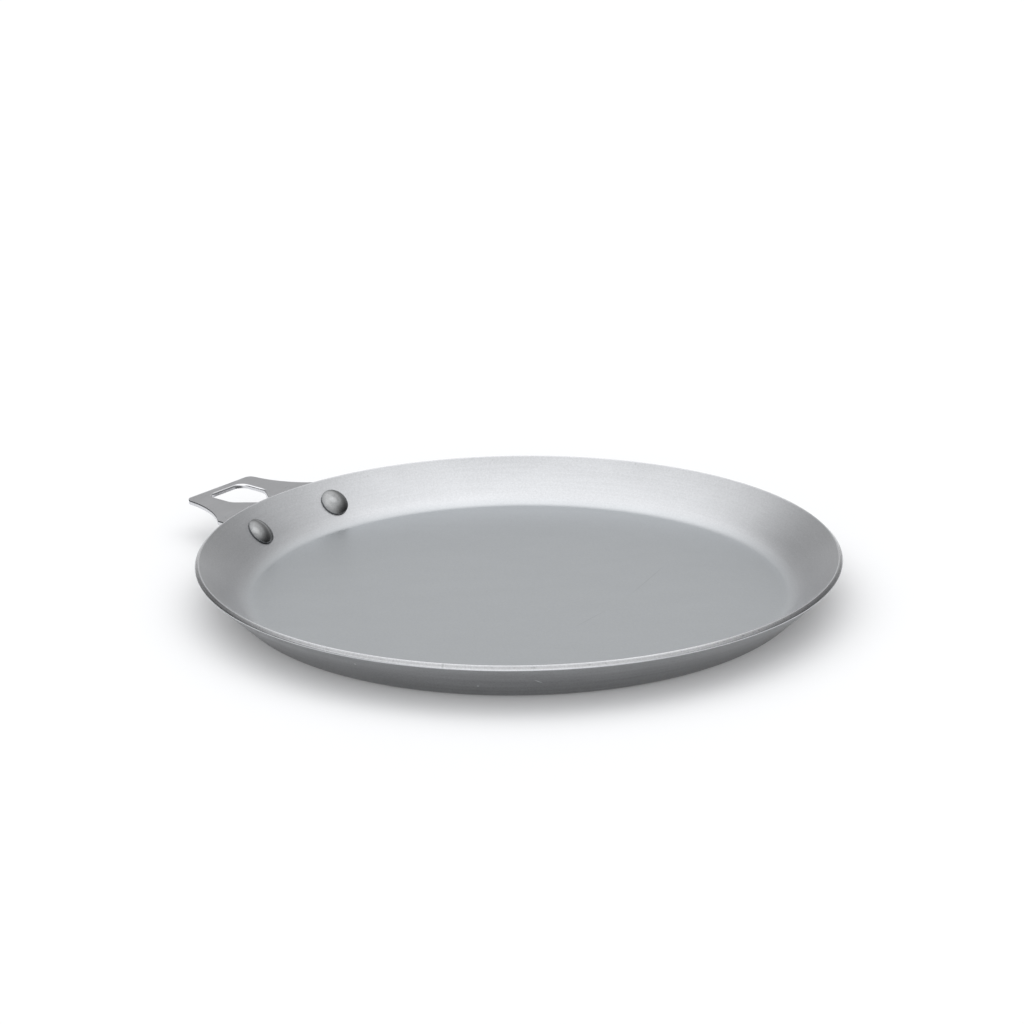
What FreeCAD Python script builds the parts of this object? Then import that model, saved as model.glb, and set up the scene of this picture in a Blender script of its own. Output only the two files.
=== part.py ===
"""Crepe pan of pressed carbon steel, with a riveted bracket that takes a clip-on handle.

Frame: origin on the pan's axis, on the plane that the base stands on. +Z is up, and +X points
along the bracket's tab, away from the pan. Lengths are in millimetres, angles in degrees.
"""
import FreeCAD, Part
import math
import os

from FreeCAD import Vector

# Pan body, pressed from one round blank
RIM_DIAMETER = 280.0         # across the outside of the rim
PAN_HEIGHT = 20.7            # base to the top of the rim
BODY_SHEET = 2.5             # thickness of the carbon steel
WALL_ANGLE = 44.0            # slope of the flared wall above the floor
FOOT_BEND_RADIUS = 8.0       # inside radius where the floor turns up into the wall
RIM_EDGE_ROUND = 0.5         # rounding on both corners of the cut rim

# Rivets, one solid piece each, set through wall and flange
RIVET_SPACING = 52.0         # between the two centres, straight across
RIVET_RISE = 11.8            # height of the centres above the base, on the inside of the wall
RIVET_HEAD_DIAMETER = 13.4
RIVET_HEAD_HEIGHT = 2.7
RIVET_HEAD_LAND = 0.9        # straight edge under the dome
RIVET_SHANK_DIAMETER = 6.0
RIVET_TAIL_DIAMETER = 10.5
RIVET_TAIL_HEIGHT = 1.8
RIVET_TAIL_ROUND = 1.2       # rounding of the set tail's edge
RIVET_HOLE_CLEARANCE = 0.05  # on the radius, between shank and hole

# Bracket, blanked and bent from stainless sheet
BRACKET_SHEET = 2.0          # thickness of the bracket
BRACKET_BEND_RADIUS = 2.5    # inside radius between flange and tab
FLANGE_SIDE_MARGIN = 9.0     # rivet centre to the flange's side
FLANGE_LOWER_MARGIN = 7.5    # rivet centre to the flange's lower edge
FLANGE_CORNER_RADIUS = 7.0   # lower corners of the flange
TAB_TOP_DROP = 4.6           # tab's top face below the rim, measured at the rim's radius
TAB_RISE_ANGLE = 2.0         # slope of the tab, upwards away from the pan
TAB_REACH = 35.4             # from the rim's radius to the end of the tab
TAB_END_WIDTH = 44.4         # width at the end of the tab
TAB_SIDE_RADIUS = 45.0       # hollow curve of the tab's two sides
TAB_CORNER_RADIUS = 3.5      # outer corners of the tab

# Window in the tab, where the handle's catch goes through
WINDOW_WIDTH = 23.0
WINDOW_END_MARGIN = 4.0      # metal left between the window and the tab's end
WINDOW_SIDE_LENGTH = 14.8    # from the window's end to where its sides start to close in
WINDOW_TAPER_ANGLE = 40.0    # each closing side, from the tab's axis
WINDOW_CORNER_RADIUS = 4.5   # two corners at the tab's end
WINDOW_KNEE_RADIUS = 6.0     # two corners where the sides start to close in
WINDOW_POINT_RADIUS = 4.0    # rounded point towards the pan

# Working values
ORIGIN = Vector(0, 0, 0)
AXIS = Vector(0, 0, 1)
ACROSS = Vector(0, 1, 0)
SAME = 1e-4                                   # closer than this counts as on a face
WALL = math.radians(WALL_ANGLE)
WALL_UP = (math.cos(WALL), math.sin(WALL))    # up the wall, as (radius, height)
WALL_OUT = (math.sin(WALL), -math.cos(WALL))  # out through the wall
RIM_EASE = RIM_EDGE_ROUND * (math.sin(WALL) + math.cos(WALL) - 1)  # what the rounding takes off
RIM_RADIUS = RIM_DIAMETER / 2
RIM_TOP = (RIM_RADIUS + RIM_EASE - BODY_SHEET * WALL_OUT[0], PAN_HEIGHT + RIM_EASE)  # sharp corner
RIVET_DROP = (RIM_TOP[1] - RIVET_RISE) / WALL_UP[1]  # down the wall from the sharp corner
BRACKET_WIDTH = RIVET_SPACING + 2 * FLANGE_SIDE_MARGIN
FLANGE_OUTSIDE = BODY_SHEET + BRACKET_SHEET   # flange's outer face, out from the wall's inside


def wall_point(down, out):
    """(radius, height) of a point so far down the wall from the rim, and out from its inside face."""
    radius = RIM_TOP[0] - down * WALL_UP[0] + out * WALL_OUT[0]
    height = RIM_TOP[1] - down * WALL_UP[1] + out * WALL_OUT[1]
    return radius, height


def in_space(pair, angle=0.0):
    """The space point or direction of a (radius, height) pair, turned about the pan's axis."""
    radius, height = pair
    return Vector(radius * math.cos(angle), radius * math.sin(angle), height)


def face_of(curves):
    """Flat face inside a closed run of lines and arcs."""
    return Part.Face(Part.Wire([curve.toShape() for curve in curves]))


def ring_of(pairs):
    """Ring about the pan's axis with a straight-sided section, given as (radius, height) pairs."""
    corners = [in_space(pair) for pair in pairs]
    sides = [Part.LineSegment(corners[i - 1], corners[i]) for i in range(len(corners))]
    return face_of(sides).revolve(ORIGIN, AXIS, 360)


def rounded_face(corners):
    """Flat face with straight sides between corners (x, y, radius). A radius of 0 is a sharp corner."""
    arcs = []
    starts = []
    ends = []
    count = len(corners)
    for i, (x, y, radius) in enumerate(corners):
        here = Vector(x, y, 0)
        back = (Vector(*corners[i - 1][:2], 0) - here).normalize()
        ahead = (Vector(*corners[(i + 1) % count][:2], 0) - here).normalize()
        half_angle = back.getAngle(ahead) / 2
        setback = radius / math.tan(half_angle)
        crown = (back + ahead).normalize() * (radius / math.sin(half_angle) - radius)
        starts.append(here + back * setback)
        ends.append(here + ahead * setback)
        arcs.append(Part.Arc(starts[i], here + crown, ends[i]) if radius else None)
    curves = []
    for i in range(count):
        curves.append(Part.LineSegment(ends[i - 1], starts[i]))
        if arcs[i]:
            curves.append(arcs[i])
    return face_of(curves)


def edges_where(shape, test):
    """Edges of which both ends and the middle pass a test on their points."""
    found = []
    for edge in shape.Edges:
        first, last = edge.ParameterRange
        points = [edge.valueAt(value) for value in (first, (first + last) / 2, last)]
        if all(test(point) for point in points):
            found.append(edge)
    return found


# Pan body
def pan_blank():
    """The pressed body before its rivet holes are made."""
    bend_height = BODY_SHEET + FOOT_BEND_RADIUS
    wall_length = (RIM_TOP[1] - bend_height + FOOT_BEND_RADIUS * math.cos(WALL)) / WALL_UP[1]
    inner_top = wall_point(0, 0)
    outer_top = wall_point(0, BODY_SHEET)
    inner_foot = wall_point(wall_length, 0)
    outer_foot = wall_point(wall_length, BODY_SHEET)
    floor_radius = inner_foot[0] - FOOT_BEND_RADIUS * WALL_OUT[0]

    def mid_bend(radius):
        """Middle of the foot bend, at a radius about the bend's own centre."""
        along = floor_radius + radius * math.sin(WALL / 2)
        return in_space((along, bend_height - radius * math.cos(WALL / 2)))

    base_edge = in_space((floor_radius, 0))
    floor_edge = in_space((floor_radius, BODY_SHEET))
    floor_centre = in_space((0, BODY_SHEET))
    section = [
        Part.LineSegment(ORIGIN, base_edge),
        Part.Arc(base_edge, mid_bend(FOOT_BEND_RADIUS + BODY_SHEET), in_space(outer_foot)),
        Part.LineSegment(in_space(outer_foot), in_space(outer_top)),
        Part.LineSegment(in_space(outer_top), in_space(inner_top)),
        Part.LineSegment(in_space(inner_top), in_space(inner_foot)),
        Part.Arc(in_space(inner_foot), mid_bend(FOOT_BEND_RADIUS), floor_edge),
        Part.LineSegment(floor_edge, floor_centre),
        Part.LineSegment(floor_centre, ORIGIN),
    ]
    blank = face_of(section).revolve(ORIGIN, AXIS, 360)

    def on_rim_corner(point):
        pair = (math.hypot(point.x, point.y), point.z)
        return any(math.dist(pair, corner) < SAME for corner in (inner_top, outer_top))

    return blank.makeFillet(RIM_EDGE_ROUND, edges_where(blank, on_rim_corner))


# Bracket
def tab_place():
    """Takes the tab from its flat drawing, which starts at the rim's radius, to its place on the pan."""
    slope = FreeCAD.Rotation(ACROSS, -TAB_RISE_ANGLE)
    return FreeCAD.Placement(Vector(RIM_RADIUS, 0, PAN_HEIGHT - TAB_TOP_DROP), slope)


def tab_window():
    """Cutter for the window: straight sides that close in to a rounded point towards the pan."""
    half = WINDOW_WIDTH / 2
    end = TAB_REACH - WINDOW_END_MARGIN
    knee = end - WINDOW_SIDE_LENGTH
    point = knee - half / math.tan(math.radians(WINDOW_TAPER_ANGLE))
    outline = rounded_face([
        (end, half, WINDOW_CORNER_RADIUS),
        (knee, half, WINDOW_KNEE_RADIUS),
        (point, 0, WINDOW_POINT_RADIUS),
        (knee, -half, WINDOW_KNEE_RADIUS),
        (end, -half, WINDOW_CORNER_RADIUS),
    ])
    return outline.extrude(AXIS * -BRACKET_SHEET)


def tab_plate():
    """The tab drawn flat with its top face at height 0. Its root runs in past the wall."""
    half_root = BRACKET_WIDTH / 2
    half_end = TAB_END_WIDTH / 2
    side_turn = math.acos(1 - (half_root - half_end) / TAB_SIDE_RADIUS)

    def on_side(turn, side):
        """Point of a hollow side, an arc that runs out along the tab's axis at the tab's end."""
        along = TAB_REACH - TAB_SIDE_RADIUS * math.sin(turn)
        return Vector(along, side * (half_end + TAB_SIDE_RADIUS * (1 - math.cos(turn))), 0)

    root = [Vector(-half_root, -half_root, 0), Vector(-half_root, half_root, 0)]
    flare = [on_side(side_turn, side) for side in (-1, 1)]
    end = [on_side(0, side) for side in (-1, 1)]
    plate = face_of([
        Part.LineSegment(root[0], flare[0]),
        Part.Arc(flare[0], on_side(side_turn / 2, -1), end[0]),
        Part.LineSegment(end[0], end[1]),
        Part.Arc(end[1], on_side(side_turn / 2, 1), flare[1]),
        Part.LineSegment(flare[1], root[1]),
        Part.LineSegment(root[1], root[0]),
    ]).extrude(AXIS * -BRACKET_SHEET)

    def on_end_corner(point):
        return any(math.dist((point.x, point.y), (corner.x, corner.y)) < SAME for corner in end)

    plate = plate.makeFillet(TAB_CORNER_RADIUS, edges_where(plate, on_end_corner))
    return plate.cut(tab_window())


def flange_sheet():
    """Curved sheet that lies on the outside of the wall. It runs up past the rim, to be trimmed."""
    lower_edge = RIVET_DROP + FLANGE_LOWER_MARGIN
    past_rim = BRACKET_WIDTH
    half = BRACKET_WIDTH / 2
    ring = ring_of([
        wall_point(lower_edge, BODY_SHEET),
        wall_point(lower_edge, FLANGE_OUTSIDE),
        wall_point(-past_rim, FLANGE_OUTSIDE),
        wall_point(-past_rim, BODY_SHEET),
    ])
    outline = rounded_face([
        (-lower_edge, half, FLANGE_CORNER_RADIUS),
        (-lower_edge, -half, FLANGE_CORNER_RADIUS),
        (past_rim, -half, 0),
        (past_rim, half, 0),
    ])
    up = in_space(WALL_UP)
    out = in_space(WALL_OUT)
    behind = in_space(RIM_TOP) - out * BRACKET_WIDTH
    outline.Placement = FreeCAD.Placement(behind, FreeCAD.Rotation(up, ACROSS, up.cross(ACROSS), "XYZ"))
    return ring.common(outline.extrude(out * 2 * BRACKET_WIDTH))


def inside_of_wall():
    """Everything within the cone of the wall's outside face, which is run on past the rim."""
    low = wall_point(PAN_HEIGHT, BODY_SHEET)
    high = wall_point(-PAN_HEIGHT, BODY_SHEET)
    return ring_of([(0, low[1]), low, high, (0, high[1])])


def bracket_blank():
    """Flange and tab as one bent sheet, before the rivet holes are made."""
    place = tab_place()
    side = 2 * RIM_DIAMETER
    above_tab = Part.makeBox(side, side, side, Vector(-RIM_DIAMETER, -RIM_DIAMETER, 0))
    above_tab.Placement = place
    plate = tab_plate()
    plate.Placement = place
    sharp = flange_sheet().cut(above_tab).fuse(plate.cut(inside_of_wall())).removeSplitter()

    def on_bend(depth):
        """Test for the edge where tab and flange meet, on the faces that lie so deep in the sheet."""
        def test(point):
            pair = (math.hypot(point.x, point.y), point.z)
            off_wall = sum((here - rim) * out for here, rim, out in zip(pair, RIM_TOP, WALL_OUT))
            below_top = -place.inverse().multVec(point).z
            return abs(below_top - depth) < SAME and abs(off_wall - BODY_SHEET - depth) < SAME
        return test

    outer_radius = BRACKET_BEND_RADIUS + BRACKET_SHEET
    bent = sharp.makeFillet(outer_radius, edges_where(sharp, on_bend(0)))
    return bent.makeFillet(BRACKET_BEND_RADIUS, edges_where(bent, on_bend(BRACKET_SHEET)))


# Rivets
def rivet_angles():
    """Angle of each rivet about the pan's axis. Left and right are as seen from the pan's middle."""
    half = math.asin(RIVET_SPACING / 2 / wall_point(RIVET_DROP, 0)[0])
    return {"left": half, "right": -half}


def rivet_cylinder(diameter, start, end, angle):
    """Cylinder along a rivet's axis, between two distances out from the wall's inside face."""
    foot = in_space(wall_point(RIVET_DROP, start), angle)
    return Part.makeCylinder(diameter / 2, end - start, foot, in_space(WALL_OUT, angle))


def rivet_hole(angle):
    """Cutter for a rivet's hole through wall and flange."""
    diameter = RIVET_SHANK_DIAMETER + 2 * RIVET_HOLE_CLEARANCE
    return rivet_cylinder(diameter, -BODY_SHEET, FLANGE_OUTSIDE + BRACKET_SHEET, angle)


def rivet_head(angle):
    """Domed head on the inside of the pan, sunk half through the wall, to be trimmed to it."""
    half = RIVET_HEAD_DIAMETER / 2
    rise = RIVET_HEAD_HEIGHT - RIVET_HEAD_LAND
    ball = (half ** 2 + rise ** 2) / (2 * rise)
    turn = math.asin(half / ball) / 2
    sunk = -BODY_SHEET / 2
    crown = Vector(0, 0, RIVET_HEAD_HEIGHT)
    shoulder = Vector(half, 0, RIVET_HEAD_LAND)
    between = crown + Vector(ball * math.sin(turn), 0, ball * (math.cos(turn) - 1))
    head = face_of([
        Part.LineSegment(Vector(0, 0, sunk), Vector(half, 0, sunk)),
        Part.LineSegment(Vector(half, 0, sunk), shoulder),
        Part.Arc(shoulder, between, crown),
        Part.LineSegment(crown, Vector(0, 0, sunk)),
    ]).revolve(ORIGIN, AXIS, 360)
    seat = in_space(wall_point(RIVET_DROP, 0), angle)
    head.Placement = FreeCAD.Placement(seat, FreeCAD.Rotation(AXIS, in_space(WALL_OUT, angle) * -1))
    return head


def rivet_tail(angle):
    """Set tail on the outside of the flange, sunk half through the flange, to be trimmed to it."""
    end = FLANGE_OUTSIDE + RIVET_TAIL_HEIGHT
    tail = rivet_cylinder(RIVET_TAIL_DIAMETER, FLANGE_OUTSIDE - BRACKET_SHEET / 2, end, angle)
    end_centre = in_space(wall_point(RIVET_DROP, end), angle)

    def on_end(point):
        return abs((point - end_centre).dot(in_space(WALL_OUT, angle))) < SAME

    return tail.makeFillet(RIVET_TAIL_ROUND, edges_where(tail, on_end))


def rivet(angle, wall, flange):
    """One solid rivet. Its head is trimmed to seat on the wall, and its tail on the flange."""
    head = rivet_head(angle).cut(wall)
    tail = rivet_tail(angle).cut(flange)
    shank_end = FLANGE_OUTSIDE + RIVET_TAIL_HEIGHT / 2
    shank = rivet_cylinder(RIVET_SHANK_DIAMETER, -RIVET_HEAD_LAND, shank_end, angle)
    return head.fuse(shank).fuse(tail).removeSplitter()


def main():
    body = pan_blank()
    bracket = bracket_blank()
    angles = rivet_angles()
    pieces = {f"rivet_{side}": rivet(angle, body, bracket) for side, angle in angles.items()}
    for angle in angles.values():
        body = body.cut(rivet_hole(angle))
        bracket = bracket.cut(rivet_hole(angle))
    pieces["pan_body"] = body
    pieces["handle_bracket"] = bracket

    os.makedirs("parts", exist_ok=True)
    for name, shape in pieces.items():
        print(f"{name}: {len(shape.Solids)} solid, valid {shape.isValid()}, {shape.Volume / 1000:.3f} cm3")
        shape.Solids[0].exportStep(f"parts/{name}.step")


main()
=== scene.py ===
# %% [markdown]
# # A crepe pan of pressed carbon steel
#
# The real object is four pieces of metal: a shallow round pan pressed from one blank, a bent
# stainless bracket that takes a clip-on handle, and the two rivets that hold the bracket on.
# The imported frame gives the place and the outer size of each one. Here every piece is modelled
# again with the fine roundings and the finish that a solid model leaves out, and then replaces
# its node of the frame.

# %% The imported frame
import math

import bpy
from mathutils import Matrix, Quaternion, Vector


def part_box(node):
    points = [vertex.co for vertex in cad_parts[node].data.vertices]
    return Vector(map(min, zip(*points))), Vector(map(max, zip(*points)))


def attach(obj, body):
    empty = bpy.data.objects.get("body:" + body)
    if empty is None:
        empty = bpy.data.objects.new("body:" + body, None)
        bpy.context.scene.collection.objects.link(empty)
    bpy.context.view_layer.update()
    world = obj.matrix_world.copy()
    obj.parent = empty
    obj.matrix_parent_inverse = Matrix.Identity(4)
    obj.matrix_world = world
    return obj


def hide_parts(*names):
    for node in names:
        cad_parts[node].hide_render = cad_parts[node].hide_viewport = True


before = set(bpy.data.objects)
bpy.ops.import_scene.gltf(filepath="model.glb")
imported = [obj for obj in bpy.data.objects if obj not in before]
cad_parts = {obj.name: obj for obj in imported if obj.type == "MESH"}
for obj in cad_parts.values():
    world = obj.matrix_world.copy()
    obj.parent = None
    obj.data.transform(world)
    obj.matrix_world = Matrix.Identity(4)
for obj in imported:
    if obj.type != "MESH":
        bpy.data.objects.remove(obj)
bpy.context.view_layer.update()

print("frame nodes:", ", ".join(sorted(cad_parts)))

# %% [markdown]
# ## The pan body
#
# A press draws the pan from a flat blank of 2.5 mm sheet: a level floor, a bend at the foot, and a
# straight flared wall that ends in a cut edge with both corners lightly broken. It could be made
# from a squashed cylinder, but the sheet has one section all the way round. So the section is drawn
# once as a line of vertices, and spun about the pan's axis, as on a lathe.
#
# First come the sizes. The rim's radius and height are read from the frame, and the sheet, the
# slope and the bends are named here again.

# %% Sizes of the pan body
MM = 0.001
BODY_SHEET = 2.5 * MM
WALL_DEGREES = 44
WALL = math.radians(WALL_DEGREES)
FOOT_BEND_INSIDE = 8 * MM
RIM_EDGE_ROUND = 0.5 * MM

pan_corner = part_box("pan_body")[1]
RIM_RADIUS = pan_corner.y
PAN_HEIGHT = pan_corner.z

WALL_UP = Vector((math.cos(WALL), math.sin(WALL)))
WALL_OUT = Vector((math.sin(WALL), -math.cos(WALL)))
rim_ease = RIM_EDGE_ROUND * (math.sin(WALL) + math.cos(WALL) - 1)
rim_corner = Vector((RIM_RADIUS + rim_ease - BODY_SHEET * math.sin(WALL), PAN_HEIGHT + rim_ease))
bend_height = BODY_SHEET + FOOT_BEND_INSIDE
wall_length = (rim_corner.y - bend_height + FOOT_BEND_INSIDE * math.cos(WALL)) / math.sin(WALL)
floor_radius = rim_corner.x - wall_length * math.cos(WALL) - FOOT_BEND_INSIDE * math.sin(WALL)
print(
    f"rim {RIM_RADIUS / MM:.2f} mm, floor {floor_radius / MM:.2f} mm, "
    f"wall {wall_length / MM:.2f} mm")

# %% [markdown]
# Inside, the sheet leaves the wall gently before it turns into the floor, so the light runs softly
# round the foot. One arc would show a crisp line where it starts. Three arcs of falling radius
# don't, and they leave the single arc's place by less than half a millimetre.

# %% The soft foot on the inside
SOFT_FOOT = ((60 * MM, 4, 4), (16 * MM, 14, 6), (7 * MM, 26, 8))
slope = WALL
foot_drop = 0.0
foot_run = 0.0
for radius, degrees, steps in SOFT_FOOT:
    flatter = slope - math.radians(degrees)
    foot_drop += radius * (math.cos(flatter) - math.cos(slope))
    foot_run += radius * (math.sin(slope) - math.sin(flatter))
    slope = flatter
inside_wall = (rim_corner.y - BODY_SHEET - foot_drop) / math.sin(WALL)
inside_floor = rim_corner.x - inside_wall * math.cos(WALL) - foot_run
print(f"inside: wall {inside_wall / MM:.2f} mm straight, floor {inside_floor / MM:.2f} mm")

# %% [markdown]
# The pen is one selected vertex in edit mode. A straight run extrudes it, and a bend spins it about
# a centre to its left or right. It works like bending strip by hand: so far on, then so many
# degrees.

# %% A pen that draws a section
def start_pen(name, radius, height, heading):
    """New object with one vertex in the XZ plane, left in edit mode. Returns the pen's state."""
    bpy.ops.object.select_all(action="DESELECT")
    bpy.ops.mesh.primitive_plane_add(size=MM)
    bpy.context.object.name = name
    bpy.context.object.data.name = name
    bpy.ops.object.mode_set(mode="EDIT")
    bpy.ops.mesh.merge(type="CENTER")
    bpy.ops.transform.translate(value=(radius, 0, height))
    return Vector((radius, height)), math.radians(heading)


def pen_line(pen, length):
    """Extrude the vertex straight on."""
    place, heading = pen
    step = Vector((math.cos(heading), math.sin(heading))) * length
    bpy.ops.mesh.extrude_vertices_move(TRANSFORM_OT_translate={"value": (step.x, 0, step.y)})
    return place + step, heading


def pen_bend(pen, radius, degrees, steps):
    """Spin the vertex about a centre on its left, or on its right for a negative angle."""
    place, heading = pen
    side = math.copysign(1, degrees)
    turn = math.radians(degrees)
    to_centre = Vector((-math.sin(heading), math.cos(heading))) * side * radius
    centre = place + to_centre
    bpy.ops.mesh.spin(
        steps=steps, angle=abs(turn), center=(centre.x, 0, centre.y), axis=(0, side, 0))
    arm = -to_centre
    arm.rotate(Quaternion((0, 0, 1), turn).to_matrix().to_2x2())
    return centre + arm, heading + turn


# %% [markdown]
# After a full spin the first and last rows lie on each other and the pole is a pile of vertices.
# Merging closes both, and only then are the normals turned outwards.

# %% Spin a drawn section into a closed piece
MERGE_WITHIN = 0.002 * MM


def lathe(steps):
    """Spin everything drawn so far once round the axis, close it and leave edit mode."""
    bpy.ops.mesh.select_all(action="SELECT")
    bpy.ops.mesh.spin(steps=steps, angle=2 * math.pi, center=(0, 0, 0), axis=(0, 0, 1))
    bpy.ops.mesh.select_all(action="SELECT")
    bpy.ops.mesh.remove_doubles(threshold=MERGE_WITHIN)
    bpy.ops.mesh.normals_make_consistent(inside=False)
    bpy.ops.object.mode_set(mode="OBJECT")
    return bpy.context.object


# %% The pan body's section, drawn and spun
PAN_FACETS = 288

pen = start_pen("pan_body_steel", 0, 0, 0)
pen = pen_line(pen, floor_radius)
pen = pen_bend(pen, FOOT_BEND_INSIDE + BODY_SHEET, WALL_DEGREES, 12)
pen = pen_line(pen, wall_length - RIM_EDGE_ROUND)
pen = pen_bend(pen, RIM_EDGE_ROUND, 90, 5)
pen = pen_line(pen, BODY_SHEET - 2 * RIM_EDGE_ROUND)
pen = pen_bend(pen, RIM_EDGE_ROUND, 90, 5)
pen = pen_line(pen, inside_wall - RIM_EDGE_ROUND)
for radius, degrees, steps in SOFT_FOOT:
    pen = pen_bend(pen, radius, -degrees, steps)
pen = pen_line(pen, inside_floor)
print("pen ends at", [round(value / MM, 3) for value in pen[0]], "mm")
pan_body = lathe(PAN_FACETS)
print(f"{pan_body.name}: {len(pan_body.data.polygons)} faces")

# %% [markdown]
# ## The rivets
#
# A solid rivet goes through wall and bracket. Its head on the inside of the pan is a low dome with
# a short straight edge, and hammering the other end has spread it into a flat round tail. A half
# ball would do for the head, but the rivet is one solid piece, so it is turned as one, on the
# pan's axis first. Then it is laid along the wall's normal, copied, and each copy is swung to its
# own side.

# %% Sizes of a rivet
RIVET_SPACING = 52 * MM
RIVET_RISE = 11.8 * MM
HEAD_HEIGHT = 2.7 * MM
DOME_BALL = 13.1 * MM
DOME_TURN = 30
HEAD_EDGE_ROUND = 0.3 * MM
SHANK_RADIUS = 3 * MM
HOLE_CLEARANCE = 0.05 * MM
TAIL_RADIUS = 5.25 * MM
TAIL_HEIGHT = 1.8 * MM
TAIL_ROUND = 1.2 * MM
TAIL_SUNK = 0.1 * MM
BRACKET_SHEET = 2 * MM


def wall_point(down, out):
    """(radius, height) so far down the wall from the rim's corner, and out from its inside face."""
    return rim_corner - WALL_UP * down + WALL_OUT * out


rivet_drop = (rim_corner.y - RIVET_RISE) / WALL_UP.y
rivet_seat = wall_point(rivet_drop, 0)
rivet_angle = math.asin(RIVET_SPACING / 2 / rivet_seat.x)
flange_outside = BODY_SHEET + BRACKET_SHEET
print(f"rivets {math.degrees(rivet_angle):.2f} degrees either side of the bracket's middle")

# %% The rivet, turned on the axis
RIVET_FACETS = 96

pen = start_pen("rivet_left_steel", 0, HEAD_HEIGHT, 0)
pen = pen_bend(pen, DOME_BALL, -DOME_TURN, 16)
pen = pen_bend(pen, HEAD_EDGE_ROUND, DOME_TURN - 90, 4)
pen = pen_line(pen, pen[0].y - HEAD_EDGE_ROUND)
pen = pen_bend(pen, HEAD_EDGE_ROUND, -90, 4)
pen = pen_line(pen, pen[0].x - SHANK_RADIUS)
pen = (pen[0], math.radians(-90))
pen = pen_line(pen, flange_outside - TAIL_SUNK)
pen = (pen[0], 0)
pen = pen_line(pen, TAIL_RADIUS - SHANK_RADIUS)
pen = (pen[0], math.radians(-90))
pen = pen_line(pen, TAIL_HEIGHT + TAIL_SUNK - TAIL_ROUND)
pen = pen_bend(pen, TAIL_ROUND, -90, 6)
pen = pen_line(pen, pen[0].x)
print("pen ends at", [round(value / MM, 3) for value in pen[0]], "mm")
rivet_left = lathe(RIVET_FACETS)
print(f"{rivet_left.name}: {len(rivet_left.data.polygons)} faces")

# %% [markdown]
# The turn operator runs the other way when Blender has no window, so the angles here have their
# signs swapped, and each turn is given its own centre.

# %% Lay the rivet along the wall's normal, and copy it
def pick(piece):
    """Select one piece alone, and make it the active one."""
    bpy.ops.object.select_all(action="DESELECT")
    piece.select_set(True)
    bpy.context.view_layer.objects.active = piece


def edit_all(piece):
    """Open a piece in edit mode with all of it selected."""
    pick(piece)
    bpy.ops.object.mode_set(mode="EDIT")
    bpy.ops.mesh.select_all(action="SELECT")


def turn_piece(piece, angle, axis, centre=(0, 0, 0)):
    """Turn all of a piece about one axis, anticlockwise seen from the axis's tip."""
    edit_all(piece)
    bpy.ops.transform.rotate(value=-angle, orient_axis=axis, center_override=centre)
    bpy.ops.object.mode_set(mode="OBJECT")


def move_piece(piece, step):
    """Move all of a piece within its own mesh."""
    edit_all(piece)
    bpy.ops.transform.translate(value=step)
    bpy.ops.object.mode_set(mode="OBJECT")


def copy_piece(piece, name):
    """Copy a piece, with a mesh of its own."""
    pick(piece)
    bpy.ops.object.duplicate(linked=False)
    bpy.context.object.name = name
    bpy.context.object.data.name = name
    return bpy.context.object


turn_piece(rivet_left, -WALL, "Y")
move_piece(rivet_left, (rivet_seat.x, 0, rivet_seat.y))
rivet_right = copy_piece(rivet_left, "rivet_right_steel")
turn_piece(rivet_left, rivet_angle, "Z")
turn_piece(rivet_right, -rivet_angle, "Z")
for rivet in (rivet_left, rivet_right):
    corners = [rivet.matrix_world @ Vector(corner) for corner in rivet.bound_box]
    middle = sum(corners, Vector()) / len(corners)
    print(rivet.name, "middle at", [round(value / MM, 2) for value in middle], "mm")

# %% [markdown]
# Each rivet sits in a drilled hole, a hair wider than its shank. A cutter is a cylinder along the
# rivet's axis, and a Boolean modifier takes it out of the wall and, later, out of the bracket.

# %% Cutters and Booleans
HOLE_FACETS = 64


def hole_cutter(angle):
    """Cylinder along a rivet's axis, long enough for wall and bracket."""
    bpy.ops.object.select_all(action="DESELECT")
    bpy.ops.mesh.primitive_cylinder_add(
        vertices=HOLE_FACETS, radius=SHANK_RADIUS + HOLE_CLEARANCE, depth=4 * flange_outside)
    cutter = bpy.context.object
    turn_piece(cutter, -WALL, "Y")
    move_piece(cutter, (rivet_seat.x, 0, rivet_seat.y))
    turn_piece(cutter, angle, "Z")
    return cutter


def apply_modifier(piece, modifier):
    """Apply one modifier of a piece to its mesh."""
    pick(piece)
    bpy.ops.object.modifier_apply(modifier=modifier.name)


def cut(piece, cutter, operation):
    """Apply one Boolean with a cutter, which is then thrown away."""
    boolean = piece.modifiers.new("cut", "BOOLEAN")
    boolean.operation = operation
    boolean.object = cutter
    boolean.solver = "EXACT"
    apply_modifier(piece, boolean)
    bpy.data.objects.remove(cutter)


for side in (1, -1):
    cut(pan_body, hole_cutter(side * rivet_angle), "DIFFERENCE")
print(f"{pan_body.name} drilled: {len(pan_body.data.polygons)} faces")

# %% [markdown]
# ## The bracket
#
# The bracket starts as flat stainless sheet. It is blanked to its outline, with hollow sides and a
# shield-shaped window for the handle's catch, and then bent, so that a curved flange lies on the
# outside of the wall and the tab stands out level. Bending a finished blank is awkward on a curved
# wall. So it goes the other way round here: the bent section is spun through a short angle to give
# the curved sheet, and the outline is then cut out of that sheet with prisms.

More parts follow.
